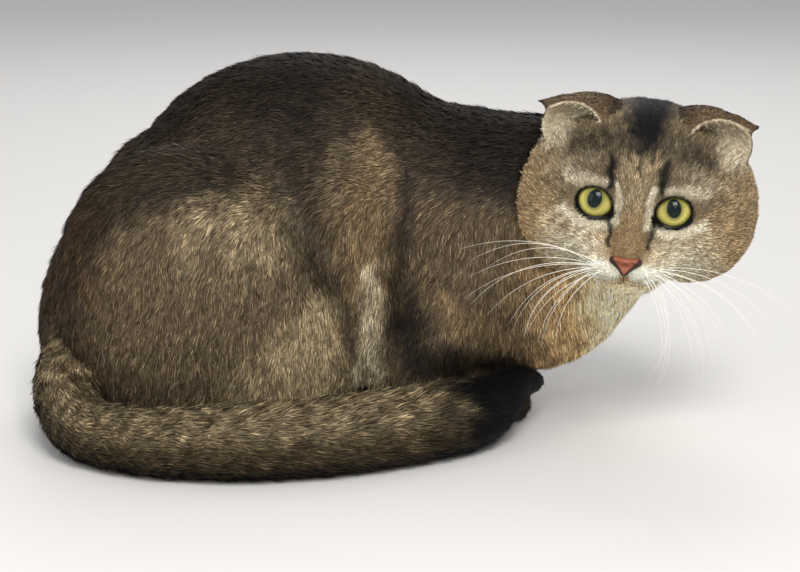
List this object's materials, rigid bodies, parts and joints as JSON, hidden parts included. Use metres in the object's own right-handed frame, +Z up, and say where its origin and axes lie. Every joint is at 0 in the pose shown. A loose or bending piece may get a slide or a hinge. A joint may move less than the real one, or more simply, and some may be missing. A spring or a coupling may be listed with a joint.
{
  "type": "crouching scottish fold cat",
  "caption": "Life-size still model of a crouching Scottish Fold cat, its head turned to the side, its ears folded and its tail laid along its flank.",
  "frame": {"origin": "on the floor under the middle of the whole cat's box", "axes": "+X from the rump to the chest, +Y to the cat's left, +Z up from the floor"},
  "size_m": [0.3582, 0.2218, 0.1827],
  "materials": {
    "coat_back": "dense short coat of the back and neck, black-brown ticked with tan",
    "coat_side": "dense short coat of the flanks, legs and tail, tan ticked with dark brown",
    "coat_face": "very short coat of the face, grey-tan with darker ticking and pale rims round the eyes",
    "coat_chest": "longer soft coat of the chest and throat, warm beige",
    "coat_tip": "dense coat of the tail tip, near black",
    "ear": "thin short coat on the back of the ear, pale inside",
    "eye": "clear wet cornea over an olive-yellow iris and a dark oval pupil",
    "nose": "bare matt brick-red nose leather with a dark edge"
  },
  "bodies": {
    "root": {"chest": "coat_chest", "ear_left": "ear", "ear_right": "ear", "eye_left": "eye", "eye_right": "eye", "forearm_left": "coat_side", "forearm_right": "coat_side", "forepaw_left": "coat_side", "forepaw_right": "coat_side", "head": "coat_face", "hind_foot_left": "coat_side", "hind_foot_right": "coat_side", "loin": "coat_back", "neck": "coat_back", "nose": "nose", "rump": "coat_back", "tail_1": "coat_side", "tail_2": "coat_side", "tail_3": "coat_side", "tail_4": "coat_side", "tail_5": "coat_side", "tail_6": "coat_tip", "thigh_left": "coat_side", "thigh_right": "coat_side", "upper_arm_left": "coat_side", "upper_arm_right": "coat_side"}
  },
  "joints": []
}
